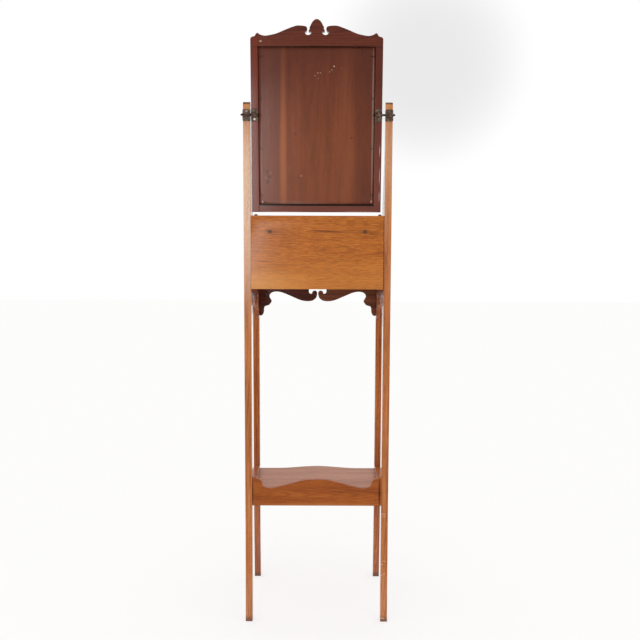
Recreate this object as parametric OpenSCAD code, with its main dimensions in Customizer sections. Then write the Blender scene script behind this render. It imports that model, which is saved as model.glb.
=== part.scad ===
// Victorian oak shaving stand: a swing mirror with a swan-neck crest between two
// tall posts, a small two-drawer cabinet, and a galleried shelf on sabre legs.
// Millimetres. The front faces -Y, the floor is Z = 0 and +X is the right-hand side.

/* [Overall] */
// Width over the two rear posts
stand_w = 406; // [360:1:450]
// Depth of the cabinet over its front and rear legs
stand_d = 293; // [260:1:340]

/* [Legs and posts] */
// Thickness of the board that each leg is sawn from
leg_w = 19.5; // [17:0.5:24]
// Leg, front to back
leg_d = 22; // [20:0.5:28]
// How far the front feet kick forward
front_kick = 16; // [8:1:24]
// How far the rear feet kick back
rear_kick = 10; // [6:1:16]
// Height of the post's round end above the pivot
post_over = 37; // [26:1:45]
// How far the post's wing reaches forward over the cabinet
wing_out = 52; // [30:1:70]
// Height of the wing above the cabinet's top
wing_h = 214; // [150:1:230]

/* [Cabinet] */
// Underside of the cabinet above the floor
cabinet_z = 955; // [900:1:1000]
// Height of the cabinet, top board included
cabinet_h = 202; // [190:1:240]
// Thickness of the top board
top_t = 16; // [12:0.5:20]
// Least overhang of the top board in front of the legs
top_over = 4; // [0:0.5:6]
// Extra overhang at the middle of the bowed front edge
top_bow = 11; // [0:0.5:14]
// Overhang of the top board at each side
top_side_over = 2; // [0:0.5:4]
// Thickness of the bottom board
bottom_t = 14; // [12:0.5:18]
// Thickness of the side panels
side_t = 10; // [9:0.5:11]
// Side panel's outer face inside the leg's outer face
side_inset = 2; // [1:0.5:3]
// Thickness of the back panel
back_t = 8; // [6:0.5:10]
// Back panel's rear face inside the posts' rear faces
back_inset = 0.5; // [0:0.1:2]
// Height of the batten that the back panel is screwed to
cleat_h = 33; // [26:1:36]
// Thickness of that batten
cleat_t = 16; // [14:0.5:20]
// Depth of the two back screws below the cabinet's top
back_screw_drop = 44; // [38:1:50]
// Distance of each back screw from its post
back_screw_in = 52.5; // [35:0.5:80]

/* [Drawers] */
// Height of the upper drawer's opening
upper_open = 66; // [54:1:76]
// Thickness of the rail between the drawers
divider_t = 16; // [12:0.5:20]
// Depth of that rail, front to back
divider_d = 45; // [36:1:60]
// Clearance round a drawer front
drawer_gap = 1; // [0.6:0.1:1.6]
// Gap under a drawer, where it slides
slide_gap = 0.3; // [0.3:0.1:0.6]
// Drawer front's face inside the legs' front faces
drawer_inset = 2; // [0:0.5:4]
// Thickness of a drawer front
front_t = 16; // [14:0.5:20]
// Thickness of a drawer's sides and back
drawer_side_t = 9; // [8:0.5:11]
// Thickness of a drawer's bottom
drawer_bottom_t = 4.5; // [4:0.5:6]
// Wood that hides the dovetails at the face of a drawer front
lap = 5; // [4:0.5:6]
// Knob, across its head
knob_d = 24; // [18:0.5:30]
// How far a knob stands out of a drawer front
knob_out = 18; // [16:0.5:18]
// Distance of each knob from the middle
knob_x = 92; // [60:1:120]

/* [Aprons] */
// Thickness of the front apron and the side aprons
apron_t = 12; // [10:0.5:14]
// Front apron's face inside the legs' front faces
apron_inset = 4; // [2:0.5:6]
// Depth of the bracket lobes where the front apron meets the legs
apron_drop = 98; // [90:1:106]
// Width of those brackets
bracket_w = 39; // [30:1:45]
// Depth of the front apron at the belly of its swan necks
neck_low = 52; // [46:1:60]
// Depth of the front apron at the crown of its arches
arch_high = 22; // [18:1:28]
// Depth of the bracket lobes on the side aprons
side_apron_drop = 106; // [96:1:112]
// Depth of the middle of the side aprons
side_apron_mid = 57; // [44:1:62]
// Depth of the side aprons at the crown of their arches
side_arch_high = 23; // [18:1:30]
// Radius of the two volutes that face each other
volute_r = 8; // [7:0.1:8.5]
// Radius of the round eye behind each volute
eye_r = 6.7; // [6:0.1:7.5]
// Half the gap between the volutes
volute_gap = 1.5; // [0.5:0.1:3]

/* [Shelf] */
// Top of the shelf board above the floor
shelf_z = 364; // [360:1:369]
// Thickness of the shelf board
shelf_t = 14; // [12:0.5:16]
// Underside of the shelf's rails above the floor
rail_z = 338.5; // [328:0.5:343]
// Thickness of the shelf's rails
rail_t = 11; // [10:0.5:13]
// Height of the back rail at its ends
rail_h = 80; // [72:0.5:88]
// Dip in the back rail's upper edge
rail_dip = 29.5; // [18:0.5:34]
// Back rail's rear face inside the posts' rear faces
rail_inset = 1.5; // [0.5:0.5:3]
// Side rails' outer faces inside the legs' outer faces
side_rail_in = 1; // [0.5:0.5:4]
// How far the shelf's front edge swells forward
shelf_bow = 23; // [10:1:28]
// Shelf's front corners behind the legs' front faces
shelf_setback = 9; // [6:1:14]

/* [Mirror] */
// Gap between the frame and each post, were it hung in the middle
mirror_gap = 6; // [5.5:0.5:15]
// Least gap between the turning mirror and the cabinet's top
mirror_clear = 9; // [6:1:25]
// Height of the frame's shoulders above the pivot
mirror_above = 203; // [180:1:225]
// Depth of the frame's bottom below the pivot
mirror_below = 260; // [220:1:280]
// Thickness of the frame
frame_t = 22; // [20:0.5:24]
// Width of a stile behind the glass rebate
stile_w = 19.5; // [18:0.5:22]
// Width of the bottom rail behind the rebate
bottom_rail_w = 21.5; // [20:0.5:26]
// Width of the top rail behind the rebate
top_rail_w = 25; // [22:0.5:28]
// Radius of the frame's round top corners
frame_corner_r = 7.5; // [4:0.5:9]
// Width of the lip in front of the glass
lip_w = 10; // [8:0.5:14]
// Thickness of that lip
lip_t = 7; // [6:0.5:8]
// Thickness of the mirror glass
glass_t = 3.2; // [3:0.2:4]
// Thickness of the backboard at its field
board_t = 6.5; // [5.5:0.5:7]
// Width of the bevel round the backboard
bevel_w = 9; // [6:0.5:12]
// Thickness of the backboard at its edge
bevel_edge_t = 3; // [2.5:0.5:4]
// Height of the crest's leaf above the shoulders
finial_h = 44.5; // [42:0.5:54]
// Height of the swan necks above the shoulders
neck_h = 28; // [26:0.5:34]
// Thickness of the crest above the frame
crest_t = 16; // [14:0.5:20]
// How far the mirror hangs to the right of the middle
mirror_offset = 3.5; // [-4:0.5:4]
// How far the mirror leans back at rest, in degrees
mirror_lean = 4; // [0:0.5:6]

/* [Swivels] */
// Height of the cast plate on each post
post_plate_h = 31; // [29:0.5:36]
// Height of the cast plate on each stile
stile_plate_h = 33; // [31:0.5:38]
// Thickness of the cast plates
plate_t = 2.5; // [2:0.25:3]
// Post plate's overhang at each side of its post
plate_over = 1; // [0:0.1:1]
// Pivot axis behind the posts' rear faces
pivot_out = 7; // [6.8:0.1:7.4]
// Radius of the pivot pins
pin_r = 2.75; // [2.25:0.05:3]
// Outer radius of the barrels that the pins run in
barrel_r = 4.8; // [4.7:0.1:5.2]
// Length of pin that shows beyond each post plate
pin_tip = 5; // [3:0.5:8]
// Radius of a screw's shank
screw_r = 1.5; // [1.25:0.05:1.75]
// Radius of a screw's head
screw_head_r = 3.2; // [2.8:0.1:3.4]

/* [Fits] */
// Clearance all round a tenon, tongue or dowel
glue_gap = 0.1; // [0.05:0.05:0.2]
// Radial clearance of a pivot pin in its barrel
run_gap = 0.05; // [0.03:0.01:0.08]
// Clearance round the glass and the backboard
glass_gap = 0.5; // [0.3:0.1:0.8]

/* [Hidden] */

left = -1;
right = 1;
upper = 1;
lower = 0;
steps = 12;                 // straight pieces in one sweep of a sawn curve
round_fn = 48;              // smoothness of turned and bored work

oak = "peru";
stained = "sienna";
pine = "burlywood";
cast = "dimgray";

// Where things lie
half_w = stand_w / 2;
leg_in = half_w - leg_w;                    // inner faces of all four legs
leg_mid = half_w - leg_w / 2;
mirror_top = mirror_above + finial_h;       // finial's tip above the pivot
mirror_low = max(mirror_below, mirror_top); // what the turning mirror needs below it
crest_reach = pivot_out * (1 - cos(mirror_lean)) + mirror_top * sin(mirror_lean);
back_reach = max(rear_kick, crest_reach);
y_back = stand_d / 2 + (front_kick - back_reach) / 2;    // rear faces of the posts
y_front = y_back - stand_d;                              // front faces of the front legs
pivot_y = y_back + pivot_out;
kick_z = rail_z;                            // the legs are straight above this height

cabinet_top_z = cabinet_z + cabinet_h;
pivot_h = cabinet_top_z + mirror_clear + mirror_low;
top_z = cabinet_top_z - top_t;              // underside of the top board
floor_z = cabinet_z + bottom_t;             // the lower drawer runs on this
divider_z = top_z - upper_open - divider_t;
side_in = half_w - side_inset - side_t;     // inner faces of the side panels
panel_y = y_back - back_inset - back_t;     // front face of the back panel
cleat_y = panel_y - cleat_t;
back_screw_x = leg_in - back_screw_in;
back_screw_z = cabinet_top_z - back_screw_drop;
between_front = y_front + leg_d;            // the run between a front and a rear leg
between_rear = y_back - leg_d;
between = between_rear - between_front;

tenon = 8;                                  // length of the stub tenons
tenon_t = 5;                                // their thickness
tongue = 5;                                 // tongue on the side panels
shoulder = 8;                               // shoulder above and below a tenon
dado = 4;                                   // depth of the shelf's housing

// ---------------------------------------------------------------- outlines

// Smooth curve through a few points
function curve(p, n = 5) = concat(
    [for (i = [0 : len(p) - 2], k = [0 : n - 1])
        let (t = k / n,
             a = p[max(i - 1, 0)], b = p[i], c = p[i + 1], d = p[min(i + 2, len(p) - 1)])
        b + (c - a) * t / 2 + (2 * a - 5 * b + 4 * c - d) * t * t / 2
          + (3 * b - a - 3 * c + d) * t * t * t / 2],
    [p[len(p) - 1]]);

function arc(centre, r, from, to, n = steps) =
    [for (k = [0 : n]) let (a = from + (to - from) * k / n)
        centre + r * [cos(a), sin(a)]];

// A run of points given as shares of the way from x[0] to x[1] and from z[0] to z[1]
function run(p, x, z) = [for (q = p) [x[0] + (x[1] - x[0]) * q[0], z[0] + (z[1] - z[0]) * q[1]]];

// Outward kick of a sabre leg: an arc that is upright at kick_z
function kick(z, out) = let (r = (kick_z * kick_z + out * out) / (2 * out))
    r - sqrt(r * r - (kick_z - z) * (kick_z - z));

function kick_edge(out, shift) =
    [for (k = [0 : steps]) let (z = kick_z * k / steps) [kick(z, out) + shift, z]];

function reversed(p) = [for (i = [len(p) - 1 : -1 : 0]) p[i]];

// Eased 0 to 1, for an ogee
function ease(t) = t * t * (3 - 2 * t);

// Bowed front edge, from left to right
function bow(half, base, depth) =
    [for (k = [-steps : steps]) let (u = k / steps) [half * u, base - depth * (1 - u * u)]];

// Front edge that swells forward in its middle, from left to right
function swell(half, base, depth, share = 0.7) =
    [for (k = [-steps : steps]) let (u = abs(k) / steps)
        [half * k / steps, base - depth * (1 - ease(min(1, u / share)))]];

// ---------------------------------------------------------------- placing

module on_side(s) {
    mirror([s < 0 ? 1 : 0, 0, 0]) children();
}

// A board from an outline in Y and Z, from x0 outwards
module side_board(x0, t) {
    translate([x0, 0, 0]) rotate([90, 0, 90]) linear_extrude(t) children();
}

// A board from an outline in X and Z, from y0 backwards
module face_board(y0, t) {
    translate([0, y0 + t, 0]) rotate([90, 0, 0]) linear_extrude(t) children();
}

module block(x, y, z) {
    translate([x[0], y[0], z[0]]) cube([x[1] - x[0], y[1] - y[0], z[1] - z[0]]);
}

module rod(r, x) {
    translate([x[0], 0, 0]) rotate([0, 90, 0]) cylinder(r = r, h = x[1] - x[0], $fn = round_fn);
}

// The mirror's own frame: the pivot axis is its X axis
module hang() {
    translate([mirror_offset, pivot_y, pivot_h]) rotate([-mirror_lean, 0, 0]) children();
}

// Countersunk screw, its head flush with the plane it is set in, driven towards -Y
module screw(length, gap = 0) {
    head = screw_head_r - screw_r;
    rotate([90, 0, 0]) {
        cylinder(r1 = screw_head_r + gap, r2 = screw_r + gap, h = head, $fn = round_fn);
        cylinder(r = screw_r + gap, h = length + gap, $fn = round_fn);
    }
}

// ---------------------------------------------------------------- legs

post_r = leg_d / 2;
shelf_rail_y = y_back - rail_inset - rail_t;        // front face of the shelf's back rail
back_tenon_y = shelf_rail_y + (rail_t - tenon_t) / 2;
side_rail_t = leg_w - side_rail_in;                 // the side rails lie inside-flush
side_tenon_x = leg_in + (side_rail_t - tenon_t) / 2;
side_rail_h = 38.5;                                 // side rail at its front end
tongue_x = side_in;                                 // the panels' tongues, inside-flush
screw_pitch = 11;                                   // plate screws above and below the pivot
bracket_screw_l = 16;

module rear_leg_outline() {
    post_top = pivot_h + post_over;
    wing = [for (k = [0 : steps]) let (t = k / steps)
        [-leg_d - wing_out * ease(t), cabinet_top_z + wing_h * (1 - t)]];
    polygon(concat(
        kick_edge(rear_kick, 0),
        arc([-post_r, post_top - post_r], post_r, 0, 180),
        wing,
        [[-leg_d, cabinet_top_z]],
        reversed(kick_edge(rear_kick, -leg_d))));
}

module front_leg_outline() {
    polygon(concat(
        kick_edge(front_kick, 0),
        [[0, top_z], [-leg_d, top_z]],
        reversed(kick_edge(front_kick, -leg_d))));
}

module panel_groove(y) {
    block([tongue_x - glue_gap, tongue_x + tenon_t + glue_gap], y, [cabinet_z, top_z + 1]);
}

module side_rail_mortise(y) {
    block([side_tenon_x - glue_gap, side_tenon_x + tenon_t + glue_gap], y,
          [rail_z + shoulder - glue_gap, rail_z + side_rail_h - shoulder + glue_gap]);
}

// Sawn in one piece from the foot to the mirror, with a wing over the cabinet
module rear_leg(s) {
    color(oak) on_side(s) difference() {
        translate([0, y_back, 0]) side_board(leg_in, leg_w) rear_leg_outline();
        panel_groove([between_rear - 1, between_rear + tongue + glue_gap]);
        side_rail_mortise([between_rear - 1, between_rear + tenon + glue_gap]);
        block([leg_in - 1, leg_in + tenon + glue_gap],
              [back_tenon_y - glue_gap, back_tenon_y + tenon_t + glue_gap],
              [rail_z + shoulder - glue_gap, rail_z + rail_h - 2 * shoulder + glue_gap]);
        for (k = [-1, 1])
            translate([leg_mid, y_back, pivot_h + k * screw_pitch])
                rotate([90, 0, 0])
                    cylinder(r = screw_r + glue_gap, h = bracket_screw_l, $fn = round_fn);
    }
}

module front_leg(s) {
    color(oak) on_side(s) difference() {
        translate([0, y_front, 0]) mirror([0, 1, 0]) side_board(leg_in, leg_w) front_leg_outline();
        panel_groove([between_front - tongue - glue_gap, between_front + 1]);
        side_rail_mortise([between_front - tenon - glue_gap, between_front + 1]);
        divider_tenon(glue_gap);
    }
}

// ---------------------------------------------------------------- cabinet

// Board with a bowed front edge, notched round the rear posts
module cabinet_top() {
    half = half_w + top_side_over;
    color(oak) difference() {
        translate([0, 0, top_z]) linear_extrude(top_t) polygon(concat(
            bow(half, y_front - top_over, top_bow),
            [[half, between_rear], [leg_in, between_rear], [leg_in, panel_y],
             [-leg_in, panel_y], [-leg_in, between_rear], [-half, between_rear]]));
        for (s = [left, right])
            translate([s * leg_mid, finial_y, cabinet_top_z - dowel_l - glue_gap])
                cylinder(r = dowel_r + glue_gap, h = dowel_l + 1, $fn = round_fn);
    }
}

module cabinet_bottom() {
    color(oak) difference() {
        block([-side_in, side_in], [y_front + drawer_inset, panel_y], [cabinet_z, floor_z]);
        for (s = [left, right]) on_side(s) {
            block([leg_in, half_w], [y_front - 1, between_front], [cabinet_z - 1, floor_z + 1]);
            block([leg_in, half_w], [between_rear, y_back], [cabinet_z - 1, floor_z + 1]);
        }
    }
}

// Side panel, tongued into grooves in the legs
module cabinet_side(s) {
    color(oak) on_side(s) {
        block([side_in, side_in + side_t], [between_front, between_rear], [cabinet_z, top_z]);
        block([tongue_x, tongue_x + tenon_t],
              [between_front - tongue, between_rear + tongue], [cabinet_z, top_z]);
    }
}

// One wide board between the posts, over the edges of top and bottom
module cabinet_back() {
    color("chocolate") difference() {
        block([-leg_in, leg_in], [panel_y, panel_y + back_t], [cabinet_z, cabinet_top_z]);
        for (s = [left, right])
            translate([s * back_screw_x, panel_y + back_t, back_screw_z])
                screw(back_t + 1, glue_gap);
    }
}

back_screw_l = back_t + cleat_t - 4;

module back_cleat() {
    color(pine) difference() {
        block([-leg_in, leg_in], [cleat_y, panel_y],
              [back_screw_z - cleat_h / 2, back_screw_z + cleat_h / 2]);
        for (s = [left, right])
            translate([s * back_screw_x, panel_y + back_t, back_screw_z])
                screw(back_screw_l, glue_gap);
    }
}

module back_screws() {
    color(cast) for (s = [left, right])
        translate([s * back_screw_x, panel_y + back_t, back_screw_z]) screw(back_screw_l);
}

// ---------------------------------------------------------------- drawer rails

divider_y = [y_front + drawer_inset, y_front + drawer_inset + divider_d];

module divider_tenon(gap) {
    mid = y_front + leg_d / 2;
    block([leg_in - 1, leg_in + tenon + gap],
          [mid - tenon_t / 2 - gap, mid + tenon_t / 2 + gap],
          [divider_z + divider_t / 4 - gap, divider_z + divider_t * 3 / 4 + gap]);
}

module drawer_divider() {
    color(oak) {
        block([-leg_in, leg_in], divider_y, [divider_z, divider_z + divider_t]);
        for (s = [left, right]) on_side(s) divider_tenon(0);
    }
}

runner_w = 26;              // bearing of an upper drawer runner
guide_h = 24;               // height of the strips that steer a drawer

// Runner and guide in one L-shaped strip, on the side panel
module upper_runner(s) {
    color(pine) on_side(s) {
        block([side_in - runner_w, side_in], [divider_y[1], between_rear],
              [divider_z, divider_z + divider_t]);
        block([leg_in, side_in], [between_front, between_rear],
              [divider_z, divider_z + divider_t + guide_h]);
    }
}

module lower_guide(s) {
    color(pine) on_side(s)
        block([leg_in, side_in], [between_front, between_rear], [floor_z, floor_z + guide_h]);
}

front_y = y_front + drawer_inset;           // face of the drawer fronts
stop = [24, 12, 5];                         // a small block behind each drawer front

module drawer_stops() {
    color(pine) for (z = [floor_z, divider_z + divider_t], s = [left, right])
        translate([s * knob_x - stop[0] / 2, front_y + front_t + slide_gap, z]) cube(stop);
}

// ---------------------------------------------------------------- drawers

drawer_half = leg_in - drawer_gap;                  // outer faces of a drawer
drawer_in = drawer_half - drawer_side_t;            // inner faces of its sides
drawer_back_gap = 6;
drawer_end = cleat_y - drawer_back_gap;             // rear end of a drawer
bottom_up = 8;                                      // drawer bottom above the lower edge
groove = 4;                                         // depth of the bottom's groove
side_lower = 3;                                     // sides lower than the front
tail_slope = 1.6;

function drawer_z(level) = (level == upper ? divider_z + divider_t : floor_z) + slide_gap;
function opening_h(level) = level == upper ? upper_open : divider_z - floor_z;
function front_h(level) = opening_h(level) - slide_gap - drawer_gap;
function side_h(level) = front_h(level) - side_lower;
function back_z(level) = drawer_z(level) + bottom_up + drawer_bottom_t + glue_gap;
function tail_count(level) = level == upper ? 2 : 3;

// Dovetails between heights z[0] and z[1], widening from y to y + length; each has
// a short root inside its own board
module tails(n, z, y, length, gap = 0) {
    pitch = (z[1] - z[0]) / n;
    half = pitch * 0.3 + gap;
    root = y - sign(length);
    for (i = [0 : n - 1]) let (mid = z[0] + pitch * (i + 0.5),
        p = [[root, mid - half], [y, mid - half], [y + length, mid - half - tail_slope],
             [y + length, mid + half + tail_slope], [y, mid + half], [root, mid + half]])
        polygon(length > 0 ? p : reversed(p));
}

module front_tails(level, gap = 0) {
    tails(tail_count(level) + 1, [drawer_z(level) + 2, drawer_z(level) + side_h(level) - 2],
          front_y + front_t, lap - front_t - gap, gap);
}

module back_tails(level, gap = 0) {
    tails(tail_count(level), [back_z(level) + 2, drawer_z(level) + side_h(level) - 2],
          drawer_end - drawer_side_t, drawer_side_t + gap, gap);
}

module bottom_groove(level, half, y) {
    z = drawer_z(level) + bottom_up;
    block([-half, half], y, [z - glue_gap, z + drawer_bottom_t + glue_gap]);
}

function knob_z(level) = drawer_z(level) + front_h(level) / 2;

module drawer_front(level) {
    z = drawer_z(level);
    color(oak) difference() {
        block([-drawer_half, drawer_half], [front_y, front_y + front_t], [z, z + front_h(level)]);
        for (s = [left, right]) on_side(s)
            side_board(drawer_in - glue_gap, drawer_side_t + 1) front_tails(level, glue_gap);
        bottom_groove(level, drawer_in + groove, [front_y + front_t - groove, front_y + front_t + 1]);
        for (s = [left, right])
            translate([s * knob_x, front_y - 1, knob_z(level)]) rotate([-90, 0, 0])
                cylinder(r = dowel_r + glue_gap, h = dowel_l + 1 + glue_gap, $fn = round_fn);
    }
}

module drawer_side(level, s) {
    z = drawer_z(level);
    back = drawer_end - drawer_side_t;
    color(pine) on_side(s) difference() {
        side_board(drawer_in, drawer_side_t) {
            translate([front_y + front_t, z]) square([back - front_y - front_t, side_h(level)]);
            translate([back - 1, z]) square([drawer_side_t + 1, back_z(level) - z - glue_gap]);
            front_tails(level);
            back_tails(level);
        }
        bottom_groove(level, drawer_in + groove, [front_y, drawer_end + 1]);
    }
}

module drawer_back(level) {
    color(pine) difference() {
        block([-drawer_half, drawer_half], [drawer_end - drawer_side_t, drawer_end],
              [back_z(level), drawer_z(level) + side_h(level)]);
        for (s = [left, right]) on_side(s)
            side_board(drawer_in - glue_gap, drawer_side_t + 1) back_tails(level, glue_gap);
    }
}

module drawer_bottom(level) {
    z = drawer_z(level) + bottom_up;
    half = drawer_in + groove - glue_gap;
    color(pine)
        block([-half, half], [front_y + front_t - groove + glue_gap, drawer_end],
              [z, z + drawer_bottom_t]);
}

dowel_r = 4;
dowel_l = 10;

// Turned knobs, glued in by a dowel end
module drawer_knobs(level) {
    r = knob_d / 2;
    color(oak) for (s = [left, right])
        translate([s * knob_x, front_y, knob_z(level)]) rotate([90, 0, 0])
            rotate_extrude($fn = round_fn) polygon(concat(
                [[0, -dowel_l], [dowel_r, -dowel_l], [dowel_r, 0], [r * 0.75, 0]],
                curve([[r * 0.75, 2], [r * 0.5, 5], [r * 0.55, 8], [r * 0.95, knob_out - 7],
                       [r, knob_out - 4.5], [r * 0.8, knob_out - 1.5], [r * 0.35, knob_out]], 4),
                [[0, knob_out]]));
}

// ---------------------------------------------------------------- aprons

bracket_cusp = 0.519;       // depth of a bracket's cusp, as a share of its whole depth
hollow = [[-2.5, 2.2], [4, 7], [7.3, 14], [4, 22]]; // an arch's outer end: out from the cusp, drop

// Bracket where an apron meets a leg, from its cusp down: distance from the leg, depth
function bracket_edge(drop) = let (x = [0, bracket_w], z = [0, -drop]) concat(
    curve(run([[1, bracket_cusp], [0.96, 0.568], [0.82, 0.641], [0.66, 0.672], [0.475, 0.69]], x, z)),
    curve(run([[0.475, 0.69], [0.385, 0.75], [0.36, 0.88], [0.27, 0.964], [0.13, 1], [0, 0.985]],
              x, z), 4));

// The same edge with the arch before it, from the middle out to a leg at x = far
function apron_edge(start, p, near, far, low, high, drop) = let (cusp = far - bracket_w) concat(
    curve(concat(start, run(p, [near, cusp], [-high, -low]),
                 [for (h = hollow) [cusp + h[0], -high - h[1]]], [[cusp, -bracket_cusp * drop]])),
    [for (p = bracket_edge(drop)) [far - p[0], p[1]]]);

volute_drop = 18.5;         // top of the volutes below the cabinet
eye_at = [11.3, -21.7];     // eye of a scroll: out from its volute's centre, and up

// Left half of the front apron, drawn from the middle outwards: a swan neck that
// rises out of a volute, an arch, and a stepped bracket at the leg
module front_apron_outline() {
    c = volute_gap + volute_r;
    eye = [c + eye_at[0], eye_at[1]];
    volute = [c, -volute_drop - volute_r];
    open_x = eye[0] + eye_r;
    neck = [[0.048, 0.76], [0.114, 0.95], [0.235, 1], [0.378, 0.87], [0.6, 0.42], [0.76, 0.11], [0.89, 0]];
    difference() {
        polygon(concat(
            [[c, eye[1]], [volute_gap, volute[1]]],
            apron_edge([[volute_gap, volute[1] - 2.5], [volute_gap + 2, volute[1] - 12]], neck,
                       volute_gap, leg_in, neck_low, arch_high, apron_drop),
            [[leg_in, 0], [open_x, 0], [open_x, eye[1]]]));
        translate(eye) circle(eye_r, $fn = round_fn);
    }
    translate(volute) circle(volute_r, $fn = round_fn);
}

apron_y = y_front + apron_inset;

module front_apron(s) {
    color(oak) on_side(s)
        translate([0, 0, cabinet_z]) face_board(apron_y, apron_t) front_apron_outline();
}

// Side apron: a bracket at each leg, two arches and a drop in the middle
module side_apron(s) {
    half = between / 2;
    arch = [[0, 1], [0.234, 0.853], [0.544, 0.235], [0.813, 0]];
    edge = apron_edge([], arch, 0, half, side_apron_mid, side_arch_high, side_apron_drop);
    color(oak) on_side(s) translate([0, (between_front + between_rear) / 2, cabinet_z])
        side_board(leg_in, apron_t)
            polygon(concat(edge, [[half, 0], [-half, 0]],
                           [for (p = reversed(edge)) [-p[0], p[1]]]));
}

glue_block = 14;
glue_block_l = 34;
glue_block_in = 60;         // blocks from the middle and from the legs

// Rubbed glue blocks behind the front apron, under the bottom board
module apron_glue_blocks() {
    y = apron_y + apron_t;
    color(pine) for (s = [left, right], x = [glue_block_in, leg_in - glue_block_in])
        on_side(s) translate([0, 0, cabinet_z]) side_board(x, glue_block_l)
            polygon([[y, 0], [y + glue_block, 0], [y, -glue_block]]);
}

finial_y = y_front + leg_d / 2;
corner_h = 18;

// Little turned finial over each front leg
module corner_finial(s) {
    color(stained) translate([s * leg_mid, finial_y, cabinet_top_z])
        rotate_extrude($fn = round_fn) polygon(concat(
            [[0, -dowel_l], [dowel_r, -dowel_l], [dowel_r, 0], [8, 0], [8, 2]],
            curve([[6, 3], [3.4, 5.5], [3.8, 7.5], [6.2, 11], [5.8, 14.5], [3, 17.4]], 4),
            [[0, corner_h]]));
}

// ---------------------------------------------------------------- shelf

shelf_rear = shelf_rail_y + dado - glue_gap;

module shelf_board() {
    wide = leg_in + dado - glue_gap;
    narrow = leg_in - glue_gap;
    front = between_front + glue_gap;
    rear = between_rear - glue_gap;
    color(stained) translate([0, 0, shelf_z - shelf_t]) linear_extrude(shelf_t) polygon(concat(
        swell(narrow, y_front + shelf_setback, shelf_bow),
        [[narrow, front], [wide, front], [wide, rear], [narrow, rear], [narrow, shelf_rear],
         [-narrow, shelf_rear], [-narrow, rear], [-wide, rear], [-wide, front], [-narrow, front]]));
}

module shelf_housing(x, y) {
    block(x, y, [shelf_z - shelf_t - glue_gap, shelf_z + glue_gap]);
}

rail_shoulder = [[10, 0], [18, 2], [25, 8], [29, 19], [35, 25.5]];  // at a post: run, drop

// Scalloped back rail: a shoulder at each leg, a dip, and a hump in the middle
module shelf_back_rail() {
    scallop = [[0.28, 1], [0.44, 0.8], [0.68, 0.4], [0.84, 0.18], [1, 0.13]];
    edge = concat([[leg_in, rail_h]],
        curve(concat([for (p = rail_shoulder) [leg_in - p[0], rail_h - p[1]]],
                     run(scallop, [leg_in, 0], [rail_h, rail_h - rail_dip]))));
    color(oak) difference() {
        union() {
            translate([0, 0, rail_z]) face_board(shelf_rail_y, rail_t)
                polygon(concat([[-leg_in, 0], [leg_in, 0]], edge,
                               [for (p = reversed(edge)) [-p[0], p[1]]]));
            for (s = [left, right]) on_side(s)
                block([leg_in - 1, leg_in + tenon], [back_tenon_y, back_tenon_y + tenon_t],
                      [rail_z + shoulder, rail_z + rail_h - 2 * shoulder]);
        }
        shelf_housing([-leg_in - 1, leg_in + 1], [shelf_rail_y - 1, shelf_rail_y + dado]);
    }
}

// Side rail: stands high against the rear post and sweeps down to the front leg
module shelf_side_rail(s) {
    color(oak) on_side(s) difference() {
        union() {
            translate([0, between_rear, rail_z]) side_board(leg_in, side_rail_t)
                polygon(concat(
                    [[-between, 0], [0, 0], [0, rail_h]],
                    curve(concat([for (p = rail_shoulder) [-p[0], rail_h - p[1]]],
                                 run([[0.21, 6.5], [0.33, 0], [0.5, -1.5], [0.8, 0], [1, 0]],
                                     [0, -between], [side_rail_h, side_rail_h + 1])))));
            block([side_tenon_x, side_tenon_x + tenon_t],
                  [between_front - tenon, between_rear + tenon],
                  [rail_z + shoulder, rail_z + side_rail_h - shoulder]);
        }
        shelf_housing([leg_in - 1, leg_in + dado], [between_front - tenon - 1, between_rear + tenon + 1]);
    }
}

// ---------------------------------------------------------------- swivels

// Plate with round corners, its back on y0
module cast_plate(mid_x, w, h, y0) {
    r = 3;
    face_board(y0, plate_t) translate([mid_x, 0]) {
        square([w, h - 2 * r], center = true);
        square([w - 2 * r, h], center = true);
        for (i = [-1, 1], j = [-1, 1])
            translate([i * (w / 2 - r), j * (h / 2 - r)]) circle(r, $fn = round_fn);
    }
}

// A barrel on a short web; y0 is the plate's outer face, the barrel is on the X axis
module barrel(x, y0) {
    rod(barrel_r, x);
    block(x, [y0 - plate_t / 2, 0], [-barrel_r * 0.7, barrel_r * 0.7]);
}

post_plate_w = leg_w + 2 * plate_over;

module post_bracket(s) {
    x = [leg_mid - post_plate_w / 2, leg_mid + post_plate_w / 2];
    color(cast) on_side(s) translate([0, pivot_y, pivot_h]) difference() {
        union() {
            cast_plate(leg_mid, post_plate_w, post_plate_h, -pivot_out);
            barrel(x, plate_t - pivot_out);
        }
        rod(pin_r + run_gap, [x[0] - 1, x[1] + 1]);
        for (k = [-1, 1])
            translate([leg_mid, plate_t - pivot_out, k * screw_pitch]) screw(plate_t + 1, glue_gap);
    }
}

module post_bracket_screws() {
    color(cast) for (s = [left, right], k = [-1, 1])
        translate([s * leg_mid, y_back + plate_t, pivot_h + k * screw_pitch])
            screw(bracket_screw_l);
}

// ---------------------------------------------------------------- mirror

frame_back = -pivot_out;
frame_front = frame_back - frame_t;
frame_half = leg_in - mirror_gap;
stile_in = frame_half - stile_w;            // back opening, half width
sight = stile_in - lip_w;                   // front opening, half width
glass_y = frame_front + lip_t;
board_y = glass_y + glass_t;
open_z = [bottom_rail_w - mirror_below, mirror_above - top_rail_w];
frame_tenon = 10;
frame_tenon_t = 7;
stile_mid = frame_half - stile_w / 2;
stile_screw_l = 14;
rail_tenon_h = [bottom_rail_w - 8, top_rail_w - 8];

module frame_tenons(i, gap) {
    z = (i == 0 ? -mirror_below : open_z[1]) + 4;
    y = glass_y + 2;
    block([stile_in - 1, stile_in + frame_tenon + gap],
          [y - gap, y + frame_tenon_t + gap], [z - gap, z + rail_tenon_h[i] + gap]);
}

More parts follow.
